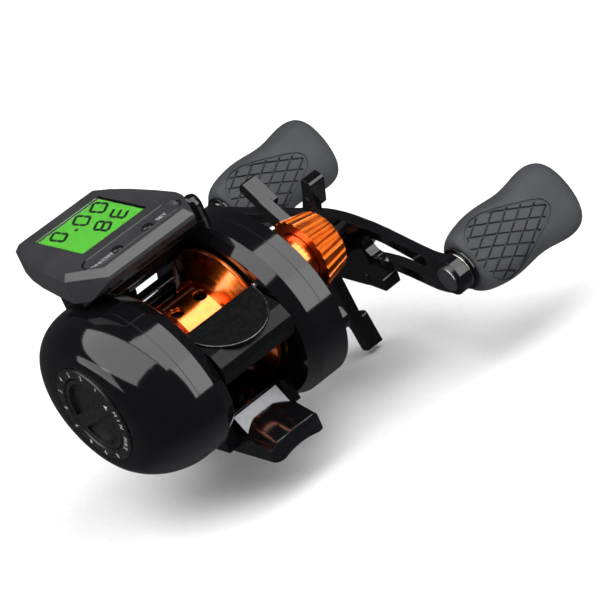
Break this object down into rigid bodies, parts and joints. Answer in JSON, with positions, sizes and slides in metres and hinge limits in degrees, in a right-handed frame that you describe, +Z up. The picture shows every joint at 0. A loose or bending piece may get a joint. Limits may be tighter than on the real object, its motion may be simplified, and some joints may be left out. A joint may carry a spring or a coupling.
{
  "type": "baitcasting reel",
  "caption": "Round baitcasting fishing reel with a digital display, star drag, twin-knob handle, thumb bar, level wind, ported spool and adjustable magnetic brake.",
  "frame": {"origin": "underside of the reel foot, on its middle line, straight below the spool axis", "axes": "+X along the spool axis towards the handle, +Y towards the rod tip, +Z up from the rod"},
  "size_m": [0.1176, 0.113, 0.066],
  "materials": {
    "black_gloss_resin": "gloss black paint over resin",
    "foot_paint": "gloss black, its slanted rear face silver-grey",
    "dark_resin": "matt black resin",
    "display_resin": "dark grey resin with a fine grain",
    "orange_aluminium": "orange anodised",
    "bare_aluminium": "satin",
    "dark_aluminium": "black anodised",
    "steel": "ground",
    "chrome": "polished",
    "brass": "machined",
    "magnet": "nickel plated",
    "fibre": "woven friction fibre",
    "ceramic": "polished ceramic",
    "rubber": "matt",
    "grip_rubber": "soft grey grip",
    "clear_lens": "clear",
    "lcd_green": "green liquid crystal panel",
    "circuit_green": "lacquered laminate"
  },
  "bodies": {
    "reel": {"frame": "black_gloss_resin", "reel_foot": "foot_paint", "foot_screws": "steel", "palm_cover": "black_gloss_resin", "brake_scale_ring": "dark_resin", "spool_bearing_left": "steel", "spool_bearing_right": "steel", "pinion_bearing": "steel", "handle_cover": "black_gloss_resin", "cover_screws": "steel", "tension_collar": "orange_aluminium", "tension_o_ring": "rubber", "one_way_bearing": "steel", "yoke_posts": "steel", "yoke_springs": "steel", "worm_tube": "bare_aluminium", "guide_rod": "steel", "display_top_case": "display_resin", "display_bottom_case": "dark_resin", "case_screws": "steel", "display_lens": "clear_lens", "case_gasket": "rubber", "circuit_board": "circuit_green", "lcd_panel": "lcd_green", "coin_cell": "chrome"},
    "brake_knob": {"brake_dial": "black_gloss_resin"},
    "magnet_carrier": {"magnet_plate": "bare_aluminium", "brake_magnets": "magnet"},
    "spool_assembly": {"spool": "orange_aluminium", "spool_shaft": "steel", "inductor_cup": "bare_aluminium"},
    "yoke": {"clutch_yoke": "dark_resin"},
    "pinion": {"pinion_gear": "brass"},
    "drive": {"drive_shaft": "steel", "drive_gear": "brass", "level_wind_gear": "dark_resin", "drag_washers": "fibre", "drag_plates": "steel", "one_way_sleeve": "steel", "spring_washers": "steel", "handle_arm": "dark_aluminium", "handle_nut": "chrome", "nut_retainer": "chrome", "retainer_screw": "chrome", "knob_spindles": "bare_aluminium"},
    "star": {"star_drag": "dark_aluminium"},
    "cast_control": {"tension_knob": "orange_aluminium"},
    "clutch_bar": {"thumb_bar": "dark_resin"},
    "worm": {"worm_shaft": "steel", "worm_gear": "dark_resin"},
    "guide": {"line_guide": "dark_resin", "line_guide_ring": "ceramic", "guide_pawl": "brass"},
    "on_off_button": {"button_on_off": "rubber"},
    "set_button": {"button_set": "rubber"},
    "front_knob": {"handle_knob_front": "grip_rubber", "knob_cap_front": "dark_aluminium"},
    "rear_knob": {"handle_knob_rear": "grip_rubber", "knob_cap_rear": "dark_aluminium"}
  },
  "joints": [
    {"name": "handle_spin", "type": "hinge", "parent": "reel", "child": "drive", "pos_m": [0, 0.0116, 0.0155], "axis": [1, 0, 0], "continuous": true},
    {"name": "spool_spin", "type": "hinge", "parent": "reel", "child": "spool_assembly", "pos_m": [0, 0, 0.0245], "axis": [1, 0, 0], "continuous": true},
    {"name": "yoke_slide", "type": "slide", "parent": "reel", "child": "yoke", "axis": [1, 0, 0], "range_m": [0, 0.0012]},
    {"name": "pinion_spin", "type": "hinge", "parent": "yoke", "child": "pinion", "pos_m": [0, 0, 0.0245], "axis": [1, 0, 0], "continuous": true},
    {"name": "worm_spin", "type": "hinge", "parent": "reel", "child": "worm", "pos_m": [0, 0.022, 0.018], "axis": [1, 0, 0], "continuous": true},
    {"name": "brake_dial_turn", "type": "hinge", "parent": "reel", "child": "brake_knob", "pos_m": [0, 0, 0.0245], "axis": [1, 0, 0], "range_deg": [0, 300]},
    {"name": "magnet_slide", "type": "slide", "parent": "reel", "child": "magnet_carrier", "axis": [1, 0, 0], "range_m": [0, 0.0024]},
    {"name": "tension_knob_turn", "type": "hinge", "parent": "reel", "child": "cast_control", "pos_m": [0, 0, 0.0245], "axis": [1, 0, 0], "range_deg": [-180, 180]},
    {"name": "star_drag_turn", "type": "hinge", "parent": "drive", "child": "star", "pos_m": [0, 0.0116, 0.0155], "axis": [1, 0, 0], "range_deg": [-150, 150]},
    {"name": "thumb_bar_press", "type": "slide", "parent": "reel", "child": "clutch_bar", "axis": [0, -0.54, -0.8417], "range_m": [0, 0.0035], "stiffness_N_per_m": 800},
    {"name": "line_guide_slide", "type": "slide", "parent": "reel", "child": "guide", "axis": [1, 0, 0], "range_m": [-0.0066, 0.0066]},
    {"name": "on_off_press", "type": "slide", "parent": "reel", "child": "on_off_button", "axis": [0, 0, -1], "range_m": [0, 0.0005], "stiffness_N_per_m": 1500},
    {"name": "set_press", "type": "slide", "parent": "reel", "child": "set_button", "axis": [0, 0, -1], "range_m": [0, 0.0005], "stiffness_N_per_m": 1500},
    {"name": "front_knob_spin", "type": "hinge", "parent": "drive", "child": "front_knob", "pos_m": [0, 0.0591, 0.0155], "axis": [1, 0, 0], "continuous": true},
    {"name": "rear_knob_spin", "type": "hinge", "parent": "drive", "child": "rear_knob", "pos_m": [0, -0.0359, 0.0155], "axis": [1, 0, 0], "continuous": true}
  ],
  "couplings": [
    {"joint": "spool_spin", "follows": "handle_spin", "ratio": -4.7273},
    {"joint": "pinion_spin", "follows": "handle_spin", "ratio": -4.7273},
    {"joint": "worm_spin", "follows": "handle_spin", "ratio": -1.35},
    {"joint": "yoke_slide", "follows": "thumb_bar_press", "ratio": 0.34286},
    {"joint": "brake_dial_turn", "follows": "magnet_slide", "rad_per_m": 2181.6}
  ]
}
